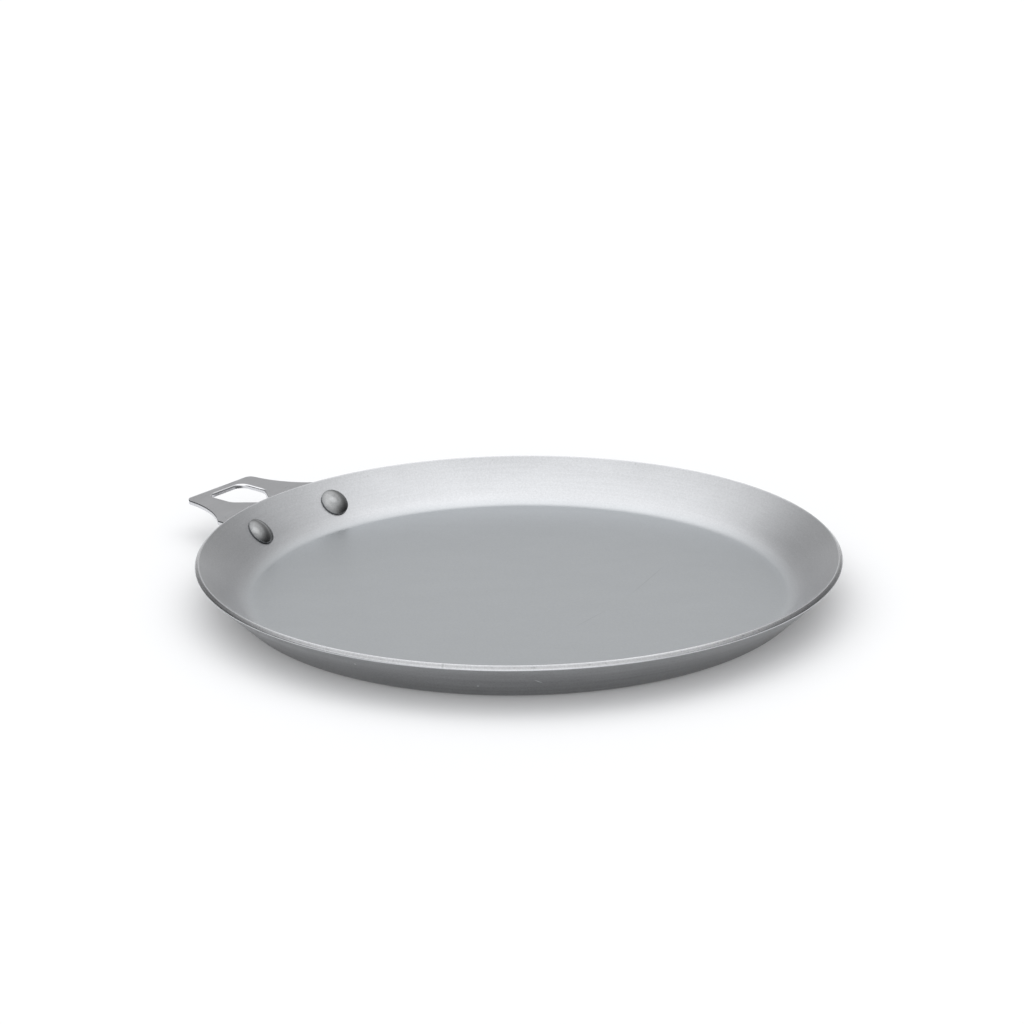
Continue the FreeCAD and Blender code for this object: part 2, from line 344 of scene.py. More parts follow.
# %% Sizes of the bracket
BRACKET_BEND_INSIDE = 2.5 * MM
FLANGE_SIDE_MARGIN = 9 * MM
BRACKET_WIDTH = RIVET_SPACING + 2 * FLANGE_SIDE_MARGIN
FLANGE_LOWER_MARGIN = 7.5 * MM
FLANGE_CORNER_RADIUS = 7 * MM
TAB_TOP_DROP = 4.6 * MM
TAB_RISE = math.radians(2)
TAB_REACH = 35.4 * MM
TAB_END_WIDTH = 44.4 * MM
TAB_SIDE_RADIUS = 45 * MM
TAB_CORNER_RADIUS = 3.5 * MM
print(f"tab reaches {TAB_REACH / MM:.2f} mm past the rim")

# %% [markdown]
# The flange and the tab meet in a fold, where their two lines cross, and the bend eases it. The
# tab's line runs on past its end, and the cut that comes later takes the spare off.

# %% The bent section
TAB_SPARE = 1.3

flange_lower = rivet_drop + FLANGE_LOWER_MARGIN
bend = WALL - TAB_RISE
flange_foot = wall_point(flange_lower, BODY_SHEET)
tab_root = Vector((RIM_RADIUS, PAN_HEIGHT - TAB_TOP_DROP))
tab_along = Vector((math.cos(TAB_RISE), math.sin(TAB_RISE)))
gap = tab_root - flange_foot
flange_to_fold = (gap.x * tab_along.y - gap.y * tab_along.x) / (
    WALL_UP.x * tab_along.y - WALL_UP.y * tab_along.x)
fold = flange_foot + WALL_UP * flange_to_fold
bend_outside = BRACKET_BEND_INSIDE + BRACKET_SHEET
setback = bend_outside * math.tan(bend / 2)
flange_run = flange_to_fold - setback
tab_run = (tab_root - fold).length + TAB_SPARE * TAB_REACH - setback

pen = start_pen("handle_bracket_steel", flange_foot.x, flange_foot.y, WALL_DEGREES)
pen = pen_line(pen, flange_run)
pen = pen_bend(pen, bend_outside, -math.degrees(bend), 8)
pen = pen_line(pen, tab_run)
pen = pen_line((pen[0], pen[1] - math.pi / 2), BRACKET_SHEET)
pen = pen_line((pen[0], pen[1] - math.pi / 2), tab_run)
pen = pen_bend(pen, BRACKET_BEND_INSIDE, math.degrees(bend), 8)
pen = pen_line(pen, flange_run)
pen = pen_line((pen[0], pen[1] - math.pi / 2), BRACKET_SHEET)
print("section closes within", round((pen[0] - flange_foot).length / MM, 4), "mm")

# %% [markdown]
# The section is swung to one side, its end is filled, and a spin with that face selected carries it
# round as a solid bar of bent sheet.

# %% Spin the bent section
SHEET_HALF_ANGLE = math.radians(20)
SHEET_FACETS = 40

bpy.ops.mesh.select_all(action="SELECT")
bpy.ops.mesh.remove_doubles(threshold=MERGE_WITHIN)
bpy.ops.mesh.edge_face_add()
bpy.ops.transform.rotate(value=SHEET_HALF_ANGLE, orient_axis="Z", center_override=(0, 0, 0))
bpy.ops.mesh.spin(
    steps=SHEET_FACETS, angle=2 * SHEET_HALF_ANGLE, center=(0, 0, 0), axis=(0, 0, -1))
bpy.ops.mesh.select_all(action="SELECT")
bpy.ops.mesh.normals_make_consistent(inside=False)
bpy.ops.object.mode_set(mode="OBJECT")
bracket = bpy.context.object
print(f"{bracket.name} sheet: {len(bracket.data.polygons)} faces")

# %% [markdown]
# The outlines are prisms. The tab's is drawn with the same pen: in along one hollow side, round the
# first corner, across the end, and back the same way. A block with bevelled corners would be
# quicker, but a bevel can't round a corner between a straight and a hollow side truly. A corner arc
# touches the hollow side's arc where the line between their two centres crosses it, which gives its
# turn. Towards the pan the outline is wider than the bracket and longer than the flange, so that it
# cuts nothing there.

# %% Outline of the tab
PRISM_DEPTH = 50 * MM
START_SPARE = 1.2
OUTLINE_BACK = 0.7 * RIM_RADIUS

tab_end = RIM_RADIUS + TAB_REACH
half_end = TAB_END_WIDTH / 2
half_root = BRACKET_WIDTH / 2
half_start = START_SPARE * half_root
arcs_apart = TAB_SIDE_RADIUS + TAB_CORNER_RADIUS
side_turn = math.degrees(math.acos((half_end + TAB_SIDE_RADIUS - half_start) / TAB_SIDE_RADIUS))
corner_turn = math.degrees(math.acos(TAB_CORNER_RADIUS / arcs_apart))
end_line = 2 * (half_end + TAB_SIDE_RADIUS - math.sqrt(arcs_apart ** 2 - TAB_CORNER_RADIUS ** 2))
side_start = tab_end - TAB_SIDE_RADIUS * math.sin(math.radians(side_turn))
root_run = side_start - OUTLINE_BACK

pen = start_pen("tab_outline", side_start, -half_start, side_turn)
pen = pen_bend(pen, TAB_SIDE_RADIUS, 90 - corner_turn - side_turn, 40)
pen = pen_bend(pen, TAB_CORNER_RADIUS, corner_turn, 12)
pen = pen_line(pen, end_line)
pen = pen_bend(pen, TAB_CORNER_RADIUS, corner_turn, 12)
pen = pen_bend(pen, TAB_SIDE_RADIUS, 90 - corner_turn - side_turn, 40)
pen = pen_line((pen[0], math.pi), root_run)
pen = pen_line((pen[0], -math.pi / 2), 2 * half_start)
pen = pen_line((pen[0], 0), root_run)
print("outline closes at", [round(value / MM, 3) for value in pen[0]], "mm")

# %% [markdown]
# The drawn outline is filled, laid down from the pen's upright plane to the level one, and extruded
# upwards. What the prism and the curved sheet have in common is kept.

# %% The tab's prism, and the first cut
bpy.ops.mesh.select_all(action="SELECT")
bpy.ops.mesh.remove_doubles(threshold=MERGE_WITHIN)
bpy.ops.mesh.edge_face_add()
bpy.ops.object.mode_set(mode="OBJECT")
tab_prism = bpy.context.object
turn_piece(tab_prism, -math.pi / 2, "X")
move_piece(tab_prism, (0, 0, -PRISM_DEPTH))
edit_all(tab_prism)
bpy.ops.mesh.extrude_region_move(TRANSFORM_OT_translate={"value": (0, 0, 2 * PRISM_DEPTH)})
bpy.ops.mesh.select_all(action="SELECT")
bpy.ops.mesh.normals_make_consistent(inside=False)
bpy.ops.object.mode_set(mode="OBJECT")
cut(bracket, tab_prism, "INTERSECT")
print(f"{bracket.name} with its tab cut: {len(bracket.data.polygons)} faces")

# %% [markdown]
# The other two outlines have straight sides, so they start as blocks. Their corners are upright
# edges, picked by place and bevelled. A bevel's width is how far it reaches along each side, so a
# wanted radius is divided by the tangent of half the corner's angle.

# %% Prisms with rounded upright edges
def block(low, high):
    """Block between two corners, its place in its mesh."""
    bpy.ops.object.select_all(action="DESELECT")
    bpy.ops.mesh.primitive_cube_add(size=1)
    piece = bpy.context.object
    edit_all(piece)
    low, high = Vector(low), Vector(high)
    bpy.ops.transform.resize(value=high - low)
    bpy.ops.transform.translate(value=(low + high) / 2)
    bpy.ops.object.mode_set(mode="OBJECT")
    return piece


def round_upright(piece, places, radius, corner_degrees=90):
    """Round the upright edges at these (x, y) places."""
    edit_all(piece)
    bpy.ops.mesh.select_all(action="DESELECT")
    bpy.ops.mesh.select_mode(type="EDGE")
    bpy.ops.object.mode_set(mode="OBJECT")
    points = piece.data.vertices
    for edge in piece.data.edges:
        ends = [points[i].co for i in edge.vertices]
        edge.select = any(
            all((end.xy - Vector(place)).length < 0.01 * MM for end in ends) for place in places)
    bpy.ops.object.mode_set(mode="EDIT")
    reach = radius / math.tan(math.radians(corner_degrees) / 2)
    bpy.ops.mesh.bevel(offset=reach, offset_type="OFFSET", segments=10, profile=0.5)
    bpy.ops.mesh.select_mode(type="VERT")
    bpy.ops.object.mode_set(mode="OBJECT")


# %% Outline of the flange
flange_prism = block(
    (-flange_lower, -half_root, -PRISM_DEPTH), (BRACKET_WIDTH, half_root, PRISM_DEPTH))
lower_corners = [(-flange_lower, half_root), (-flange_lower, -half_root)]
round_upright(flange_prism, lower_corners, FLANGE_CORNER_RADIUS)
turn_piece(flange_prism, -WALL, "Y")
move_piece(flange_prism, (rim_corner.x, 0, rim_corner.y))
cut(bracket, flange_prism, "INTERSECT")
print(f"{bracket.name} with its flange cut: {len(bracket.data.polygons)} faces")

# %% [markdown]
# The window has five corners: two square ones near the tab's end, two knees, and a point towards
# the pan. It starts as a block for the straight part. The face towards the pan is then extruded,
# and pinched together to one upright edge.

# %% Prism of the window
WINDOW_WIDTH = 23 * MM
WINDOW_END_MARGIN = 4 * MM
WINDOW_SIDE_LENGTH = 14.8 * MM
WINDOW_TAPER = 40

half_window = WINDOW_WIDTH / 2
window_end = tab_end - WINDOW_END_MARGIN
window_knee = window_end - WINDOW_SIDE_LENGTH
window_point = window_knee - half_window / math.tan(math.radians(WINDOW_TAPER))

window = block((window_knee, -half_window, -PRISM_DEPTH), (window_end, half_window, PRISM_DEPTH))
edit_all(window)
bpy.ops.mesh.select_all(action="DESELECT")
bpy.ops.mesh.select_mode(type="FACE")
bpy.ops.object.mode_set(mode="OBJECT")
for face in window.data.polygons:
    face.select = face.normal.x < -0.9
bpy.ops.object.mode_set(mode="EDIT")
bpy.ops.mesh.extrude_region_move(
    TRANSFORM_OT_translate={"value": (window_point - window_knee, 0, 0)})
bpy.ops.transform.resize(value=(1, 0, 1))
bpy.ops.mesh.select_mode(type="VERT")
bpy.ops.mesh.select_all(action="SELECT")
bpy.ops.mesh.remove_doubles(threshold=MERGE_WITHIN)
bpy.ops.object.mode_set(mode="OBJECT")
print(f"window from {window_point / MM:.2f} to {window_end / MM:.2f} mm off the axis")

# %% The window's corners, and the last cuts
WINDOW_CORNER_RADIUS = 4.5 * MM
WINDOW_KNEE_RADIUS = 6 * MM
WINDOW_POINT_RADIUS = 4 * MM

ends = [(window_end, half_window), (window_end, -half_window)]
round_upright(window, ends, WINDOW_CORNER_RADIUS)
knees = [(window_knee, half_window), (window_knee, -half_window)]
round_upright(window, knees, WINDOW_KNEE_RADIUS, 180 - WINDOW_TAPER)
round_upright(window, [(window_point, 0)], WINDOW_POINT_RADIUS, 2 * WINDOW_TAPER)
cut(bracket, window, "DIFFERENCE")
for side in (1, -1):
    cut(bracket, hole_cutter(side * rivet_angle), "DIFFERENCE")
print(f"{bracket.name} with window and holes: {len(bracket.data.polygons)} faces")

# %% [markdown]
# The cuts leave many flat facets on the tab. They are merged, because a bevel stops at the shortest
# edge in its way. A cut leaves them in any order, so they are sorted by their distance from a point
# off to one side first, and the runs merge them nearly alike.

# %% Merge the flat facets
CUT_MERGE = 0.01 * MM
FLAT_BELOW = math.radians(0.3)
ORDER_FROM = (0.31, 0.17, 0.11)


def sort_mesh():
    """Sort the open mesh by its distance from a point off to one side, marked with the cursor."""
    bpy.context.scene.cursor.location = ORDER_FROM
    bpy.ops.mesh.sort_elements(type="CURSOR_DISTANCE", elements={"VERT", "EDGE", "FACE"})
    bpy.context.scene.cursor.location = (0, 0, 0)


edit_all(bracket)
sort_mesh()
bpy.ops.mesh.remove_doubles(threshold=CUT_MERGE)
sort_mesh()
bpy.ops.mesh.dissolve_limited(angle_limit=FLAT_BELOW)
bpy.ops.object.mode_set(mode="OBJECT")
print(f"{bracket.name} with its facets merged: {len(bracket.data.polygons)} faces")

# %% [markdown]
# The window is punched from above, and a punch pulls the sheet down a little before it shears. So
# the window's upper edge is rolled over, wider than the others. The sharp edges beside an upward
# face are picked, as far as they lie within the window's width and length.

# %% Rolled-over edge of the window
EDGE_ROLL = 0.9 * MM
SHARP_ABOVE = math.radians(40)
PICK_MARGIN = 0.1 * MM

edit_all(bracket)
bpy.ops.mesh.select_all(action="DESELECT")
bpy.ops.mesh.select_mode(type="EDGE")
bpy.ops.mesh.edges_select_sharp(sharpness=SHARP_ABOVE)
bpy.ops.object.mode_set(mode="OBJECT")
upper_edges = set()
for face in bracket.data.polygons:
    if face.normal.z > 0.95:
        upper_edges.update(face.edge_keys)
points = bracket.data.vertices
for edge in bracket.data.edges:
    middle = (points[edge.vertices[0]].co + points[edge.vertices[1]].co) / 2
    in_width = abs(middle.y) < half_window + PICK_MARGIN
    in_length = middle.x < window_end + PICK_MARGIN
    edge.select = edge.select and edge.key in upper_edges and in_width and in_length
print("rolled edges:", sum(edge.select for edge in bracket.data.edges))
bpy.ops.object.mode_set(mode="EDIT")
bpy.ops.mesh.bevel(
    offset=EDGE_ROLL, offset_type="OFFSET", segments=6, profile=0.5, clamp_overlap=False)
bpy.ops.mesh.select_mode(type="VERT")
bpy.ops.object.mode_set(mode="OBJECT")
print(f"{bracket.name} with a rolled edge: {len(bracket.data.polygons)} faces")

# %% [markdown]
# The outline is punched from below, so its upper edges stay crisp. Tumbling has only taken the
# worst sharpness off them. A narrow bevel on every edge that is still sharp does that.

# %% Broken edges on the bracket
EDGE_BREAK = 0.2 * MM

bevel = bracket.modifiers.new("break", "BEVEL")
bevel.width = EDGE_BREAK
bevel.segments = 3
bevel.limit_method = "ANGLE"
bevel.angle_limit = SHARP_ABOVE
apply_modifier(bracket, bevel)
print(f"{bracket.name} with broken edges: {len(bracket.data.polygons)} faces")

# %% [markdown]
# Round faces are shaded smooth, and edges that turn further than a bend's step stay sharp. On the
# bracket, normals are also weighted by the size of the faces round a point. So its large flat faces
# are shaded flat, right up to the narrow bevels.

# %% Smooth shading
SMOOTH_BELOW = math.radians(32)

for piece in (pan_body, bracket, rivet_left, rivet_right):
    pick(piece)
    bpy.ops.object.shade_smooth_by_angle(angle=SMOOTH_BELOW)
weighted = bracket.modifiers.new("flat_faces", "WEIGHTED_NORMAL")
weighted.keep_sharp = True
apply_modifier(bracket, weighted)
print(f"smooth below {math.degrees(SMOOTH_BELOW):.0f} degrees")

# %% [markdown]
# ## The finishes
#
# All three metals are bare, so the shader is fully metallic and its colour is the colour of its
# reflections. What tells one steel from another is the fine surface: how long and how deep the
# marks are, and which way they run. Image textures could show that, but a pattern worked out from
# the piece's own coordinates has no seams and holds at any distance. The helpers below add a node,
# set it, and join it up in one line.

# %% Helpers for shader nodes
def new_finish(name):
    """New bare metal, with its shader node."""
    finish = bpy.data.materials.new(name)
    finish.use_nodes = True
    shader = finish.node_tree.nodes["Principled BSDF"]
    shader.inputs["Metallic"].default_value = 1
    return finish, shader


def fill(finish, socket, value):
    """Join another node's output to a socket, or set the socket to a plain value."""
    if isinstance(value, bpy.types.NodeSocket):
        finish.node_tree.links.new(value, socket)
    else:
        socket.default_value = value


def add(finish, kind, inputs, output=0, **options):
    """Add a node with its options and inputs, and return one of its outputs."""
    made = finish.node_tree.nodes.new("ShaderNode" + kind)
    for option, value in options.items():
        setattr(made, option, value)
    for socket, value in inputs.items():
        fill(finish, made.inputs[socket], value)
    return made.outputs[output]


def sums(finish, operation, first, second):
    """One sum on two values."""
    return add(finish, "Math", {0: first, 1: second}, operation=operation)


def spread(finish, value, low, high, to_low, to_high):
    """Spread the range low to high over another range, and hold it at the ends."""
    return add(finish, "MapRange", {
        "Value": value, "From Min": low, "From Max": high, "To Min": to_low, "To Max": to_high})


def size_of(finish, value):
    """A value without its sign."""
    return add(finish, "Math", {0: value}, operation="ABSOLUTE")


def layered(finish, value, layers):
    """Add to a value so much of each layer."""
    for layer, share in layers:
        value = sums(finish, "ADD", value, sums(finish, "MULTIPLY", layer, share))
    return value


def two_tone(finish, tone, dark, light):
    """Colour between a dark and a light one, and past them where tone leaves 0 to 1."""
    return add(
        finish, "Mix", {0: tone, 6: (*dark, 1), 7: (*light, 1)}, output=2,
        data_type="RGBA", clamp_factor=False)


# %% [markdown]
# Every pattern starts from the piece's own coordinates. Most are noise, stretched and turned to
# suit, and only the middle of a noise's range is used, where nearly all of it lies. Dots come from
# a loose grid of cells, and a single mark is a long soft ball at a place of its own.

# %% Patterns
NOISE_LOW = 0.3
NOISE_HIGH = 0.7


def own_place(finish):
    """The piece's own coordinates."""
    return add(finish, "TexCoord", {}, output="Object")


def upward(finish):
    """How far the surface faces up in the piece's own frame, from -1 to 1."""
    return add(finish, "SeparateXYZ", {0: add(finish, "TexCoord", {}, output="Normal")}, output="Z")


def marks(finish, place, sizes, turn=0.0, detail=3.0):
    """Noise whose patches have these sizes along three axes, turned about the pan's axis."""
    turned = add(finish, "Mapping", {
        "Vector": place, "Rotation": (0, 0, turn), "Scale": sizes}, vector_type="TEXTURE")
    return add(finish, "TexNoise", {"Vector": turned, "Scale": 1.0, "Detail": detail})


def vary(finish, noise, low, high):
    """Spread the middle of a noise's range from low to high."""
    return spread(finish, noise, NOISE_LOW, NOISE_HIGH, low, high)


def specks(finish, place, pitch, reach, share):
    """Dots on a loose grid of this pitch, so far across in pitches, on a share of its cells."""
    cells = finish.node_tree.nodes.new("ShaderNodeTexVoronoi")
    fill(finish, cells.inputs["Vector"], place)
    cells.inputs["Scale"].default_value = 1 / pitch
    near = spread(finish, cells.outputs["Distance"], reach / 2, reach, 1, 0)
    chosen = spread(finish, cells.outputs["Color"], 1 - share, 1.02 - share, 0, 1)
    return sums(finish, "MULTIPLY", near, chosen)


def single_mark(finish, place, middle, turn, sizes):
    """One mark at its own place: a long ball with these half sizes, soft at its skin."""
    local = add(finish, "Mapping", {
        "Vector": place, "Location": middle, "Rotation": turn, "Scale": sizes},
        vector_type="TEXTURE")
    reach = add(finish, "VectorMath", {0: local}, output="Value", operation="LENGTH")
    return spread(finish, reach, 0.4, 1, 1, 0)


# %% [markdown]
# Pressing and rolling leave marks in different directions. On the floor the sheet keeps the
# straight grain of the rolling mill, and on the wall the press has drawn fine lines round the pan.
# The wall's pattern needs a place measured round the rim, along the wall's slope and across the
# sheet. These come from the distance to the axis and the height, so there is no seam anywhere.

# %% Places measured on the wall
def level_part(finish, place):
    """A place without its height."""
    return add(finish, "VectorMath", {0: place, 1: (1, 1, 0)}, operation="MULTIPLY")


def axis_distance(finish, place):
    """How far a place lies from the pan's axis."""
    level = level_part(finish, place)
    return add(finish, "VectorMath", {0: level}, output="Value", operation="LENGTH")


def height_above(finish, place):
    """How far a place lies above the base."""
    return add(finish, "SeparateXYZ", {0: place}, output="Z")


def from_rim(finish, place, direction):
    """How far a place lies from the rim's corner, in one direction of the pan's section."""
    across = sums(finish, "SUBTRACT", axis_distance(finish, place), rim_corner.x)
    rise = sums(finish, "SUBTRACT", height_above(finish, place), rim_corner.y)
    return layered(finish, 0.0, ((across, direction.x), (rise, direction.y)))


def round_rim(finish, place):
    """A place measured round the rim, with its height along the wall's slope."""
    aside = add(finish, "VectorMath", {0: level_part(finish, place)}, operation="NORMALIZE")
    ring = add(finish, "VectorMath", {0: aside, "Scale": RIM_RADIUS}, operation="SCALE")
    slope_up = add(finish, "CombineXYZ", {"Z": from_rim(finish, place, WALL_UP)})
    return add(finish, "VectorMath", {0: ring, 1: slope_up}, operation="ADD")


# %% [markdown]
# ### Carbon steel
#
# The pan's steel is grey and satin: fine straight grain on the floor, drawn lines on the wall, a
# cloudy mottle from the rolling, a fine tooth all over, and a few hairline scratches from stacking.
# Each of these is one noise of its own size.

# %% Carbon steel: grain, mottle and hairlines
ROLLING_DIRECTION = math.radians(36.6)
HAIRLINE_TURNS = (math.radians(12), math.radians(71), math.radians(128))

steel, shader = new_finish("carbon_steel_rolled")
place = own_place(steel)
axis_away = axis_distance(steel, place)
along = from_rim(steel, place, WALL_UP)
out = from_rim(steel, place, WALL_OUT)
drawn = round_rim(steel, place)
on_wall = spread(steel, axis_away, floor_radius, floor_radius + 6 * MM, 0, 1)

rolled = marks(steel, place, (60 * MM, 0.8 * MM, 0.8 * MM), ROLLING_DIRECTION, 4)
ringed = marks(steel, drawn, (40 * MM, 40 * MM, 0.6 * MM), detail=4)
grain = add(steel, "Mix", {0: on_wall, 2: rolled, 3: ringed}, data_type="FLOAT")
mottle = marks(steel, place, (26 * MM, 16 * MM, 16 * MM), ROLLING_DIRECTION, 5)
tooth = marks(steel, place, (0.7 * MM,) * 3, detail=2)
hairlines = 0.0
for turn in HAIRLINE_TURNS:
    strokes = marks(steel, place, (22 * MM, 0.35 * MM, 0.35 * MM), turn, 1)
    hairlines = sums(steel, "ADD", spread(steel, strokes, 0.73, 0.78, 0, 1), hairlines)
print(f"grain, mottle, tooth and {len(HAIRLINE_TURNS)} directions of hairlines")

# %% [markdown]
# The rim is where the blank was cut, and it is barer and shinier than the rest. Along its middle
# the sheet tore instead of shearing, which leaves a duller band with small nicks. Both corners are
# broken, and rubbed bright. A place on the edge is known by how far it lies from the rim's corner,
# up the wall and across the sheet.

# %% Carbon steel: the cut rim
cut_edge = spread(steel, along, -0.45 * MM, -0.2 * MM, 0, 1)
off_middle = size_of(steel, sums(steel, "SUBTRACT", out, BODY_SHEET / 2))
middle_band = spread(steel, off_middle, 0.2 * MM, 0.5 * MM, 1, 0)
sheared = sums(steel, "MULTIPLY", cut_edge, middle_band)
corner_band = spread(steel, off_middle, 0.7 * MM, 0.95 * MM, 0, 1)
broken = sums(steel, "MULTIPLY", spread(steel, along, -0.55 * MM, -0.4 * MM, 0, 1), corner_band)
nicked = spread(steel, marks(steel, drawn, (1.8 * MM,) * 3, detail=3), 0.57, 0.67, 0, 1)
nicks = sums(steel, "MULTIPLY", sheared, nicked)
print("cut edge, sheared band, broken corners and nicks")

# %% [markdown]
# The wall has painted shade: on the inside it is painted a little darker near the rim and a shade
# lighter lower down, and a few pits lie near the rim. The bend at the foot has a painted highlight,
# a shade lighter. On the outside the painted shade is darkest at the foot, and there are wider
# streaks where the sheet slid over the die. Inside and outside are told apart by how far the
# surface faces up.

# %% Carbon steel: painted shade, painted highlight, pits and streaks
outside = spread(steel, upward(steel), -0.6, -0.1, 1, 0)
# Painted shade on the wall: inside, darker near the rim; outside, darkest at the foot.
painted_wall_shade = add(steel, "Mix", {
    0: outside,
    2: spread(steel, along, -20 * MM, -1 * MM, 0.44, -1),
    3: spread(steel, along, -28 * MM, -1 * MM, -1.35, 0.34)}, data_type="FLOAT")
painted_wall_shade = sums(steel, "MULTIPLY", on_wall, painted_wall_shade)
near_rim = spread(steel, along, -9 * MM, -5 * MM, 0, 1)
pits = sums(steel, "MULTIPLY", specks(steel, drawn, 4 * MM, 0.14, 0.3), near_rim)
streaks = marks(steel, drawn, (90 * MM, 90 * MM, 2.2 * MM), detail=3)
streaks = sums(steel, "MULTIPLY", outside, vary(steel, streaks, -1, 1))
# Painted highlight on the bend at the foot, a shade lighter.
painted_foot_highlight = sums(
    steel, "MULTIPLY",
    spread(steel, axis_away, floor_radius - 3 * MM, floor_radius + 1 * MM, 0, 1),
    spread(steel, axis_away, floor_radius + 3 * MM, floor_radius + 8 * MM, 1, 0))
print("stretched wall, pits, streaks and burnished foot")

# %% [markdown]
# Use leaves its own marks. Here and there a high spot is rubbed to a bright fleck, knocks on the
# outside have left a scratch and two bright specks, and two faint longer scratches run across the
# floor. The single ones have places of their own.

# %% Carbon steel: wear
SCRATCH_MIDDLE = Vector((-84.6, 101.5, 11.35)) * MM
SCRATCH_TURN = (0, math.radians(28), math.radians(-106.6))
SCRATCH_SIZES = (2.6 * MM, 0.35 * MM, 0.35 * MM)
SPECK_MIDDLES = (Vector((-62.9, 112.3, 8.0)) * MM, Vector((-18.5, 134.0, 14.3)) * MM)
SPECK_SIZES = (0.6 * MM,) * 3
FLOOR_SCRATCHES = (
    (Vector((-46.9, 12.2, 2.5)) * MM, math.radians(-88.2), 14 * MM),
    (Vector((-39.4, -42.0, 2.5)) * MM, math.radians(-77.2), 24 * MM))

flecks = specks(steel, place, 7 * MM, 0.06, 0.34)
knocks = single_mark(steel, place, SCRATCH_MIDDLE, SCRATCH_TURN, SCRATCH_SIZES)
for middle in SPECK_MIDDLES:
    speck = single_mark(steel, place, middle, (0, 0, 0), SPECK_SIZES)
    knocks = sums(steel, "ADD", speck, knocks)
worn = 0.0
for middle, turn, half_length in FLOOR_SCRATCHES:
    sizes = (half_length, 0.35 * MM, 0.35 * MM)
    worn = sums(steel, "ADD", single_mark(steel, place, middle, (0, 0, turn), sizes), worn)
print(f"flecks, {1 + len(SPECK_MIDDLES)} knocks and {len(FLOOR_SCRATCHES)} long scratches")

# %% [markdown]
# All of these now steer one tone, from a dark grey at 0 to a light one at 1, and past both for the
# stronger marks. The wall's greys are a touch warmer than the floor's, and its grain is stronger.

# %% Carbon steel: colour
FLOOR_GREYS = ((0.439, 0.458, 0.475), (0.498, 0.519, 0.538))
WALL_GREYS = ((0.455, 0.462, 0.476), (0.512, 0.52, 0.536))

fine = sums(steel, "ADD", vary(steel, grain, -0.12, 0.12), vary(steel, tooth, -0.25, 0.25))
tone = sums(steel, "MULTIPLY", fine, spread(steel, on_wall, 0, 1, 1, 2.2))
tone = sums(steel, "ADD", tone, vary(steel, mottle, 0.38, 0.62))
# The outside is painted darker all over, a painted shade.
tone = layered(steel, tone, (
    (painted_wall_shade, 1), (outside, -3.15), (cut_edge, -0.9), (sheared, -0.8), (broken, 3.3),
    (flecks, 0.7), (pits, -1.1), (nicks, -1.2), (painted_foot_highlight, 0.35), (streaks, 0.45), (knocks, 6),
    (worn, -0.9)))
floor_grey = two_tone(steel, tone, *FLOOR_GREYS)
wall_grey = two_tone(steel, tone, *WALL_GREYS)
grey = add(steel, "Mix", {0: on_wall, 6: floor_grey, 7: wall_grey}, output=2, data_type="RGBA")
fill(steel, shader.inputs["Base Color"], grey)
print("floor greys", FLOOR_GREYS, "wall greys", WALL_GREYS)

# %% [markdown]
# The roughness is that of a satin sheet, lower on the cut rim. The bump is very shallow, a few
# thousandths of a millimetre: enough to catch the light, and far too small to model.

# %% Carbon steel: roughness and bump
STEEL_ROUGHNESS = 0.38
STEEL_BUMP = 0.006 * MM

rough = sums(steel, "ADD", vary(steel, grain, -0.02, 0.02), STEEL_ROUGHNESS)
rough = sums(steel, "ADD", rough, vary(steel, mottle, 0.012, -0.012))
rough = layered(steel, rough, (
    (hairlines, 0.06), (cut_edge, -0.18), (sheared, 0.12), (broken, -0.04)))
fill(steel, shader.inputs["Roughness"], rough)
relief = layered(steel, grain, ((tooth, 0.35), (hairlines, -0.6), (nicks, -3.0)))
bump = add(steel, "Bump", {"Height": relief, "Strength": 1.0, "Distance": STEEL_BUMP})
fill(steel, shader.inputs["Normal"], bump)
print(f"{steel.name}: {len(steel.node_tree.nodes)} nodes")

# %% [markdown]
# ### Tumbled stainless
#
# The bracket is blanked from stainless sheet and tumbled, which leaves an even satin with short
# fine marks in all directions over a trace of the mill's grain. Two noises of about half a
# millimetre and a slow cloud are enough at this size. The sheared sides of the sheet have fine
# upright lines from the punch, and a painted highlight makes them brighter. The rolled-over edge is
# the smoothest. Both are found by how far they face up in the piece's own frame. Just under the
# upper edge of the outline, where the punch broke through, the side is dull, and painted shade
# makes that band a dark line. That band is found by its depth below the tab's top.

# %% Stainless steel: patterns, sides and edges
stainless, shader = new_finish("bracket_stainless_tumbled")
place = own_place(stainless)
axis_away = axis_distance(stainless, place)
milled = marks(stainless, place, (0.5 * MM, 14 * MM, 0.5 * MM), detail=3)
tumbled = marks(stainless, place, (0.8 * MM,) * 3, detail=4)
cloud = marks(stainless, place, (9 * MM,) * 3, detail=3)
punched = marks(stainless, place, (0.4 * MM, 0.4 * MM, 5 * MM), detail=2)

up = upward(stainless)
side = spread(stainless, size_of(stainless, up), 0.1, 0.3, 1, 0)
past_rim = spread(stainless, axis_away, RIM_RADIUS, RIM_RADIUS + 2 * MM, 0, 1)
rolled = sums(
    stainless, "MULTIPLY", spread(stainless, up, 0.1, 0.3, 0, 1),
    spread(stainless, up, 0.85, 0.97, 1, 0))
rolled = sums(stainless, "MULTIPLY", rolled, past_rim)
tab_end_top = tab_root.y + TAB_REACH * math.tan(TAB_RISE)
tab_top = spread(stainless, axis_away, RIM_RADIUS, tab_end, tab_root.y, tab_end_top)
depth = sums(stainless, "SUBTRACT", tab_top, height_above(stainless, place))
# Painted shade: the dull band just under the upper edge is painted dark.
dull_band_painted_shade = sums(stainless, "MULTIPLY", side, spread(stainless, depth, 0.55 * MM, 0.75 * MM, 1, 0))
print(f"{stainless.name}: tab's top from {tab_root.y / MM:.2f} to {tab_end_top / MM:.2f} mm")

# %% Stainless steel: colour, roughness and bump
STAINLESS_GREYS = ((0.38, 0.384, 0.397), (0.458, 0.462, 0.477))
STAINLESS_BUMP = 0.01 * MM
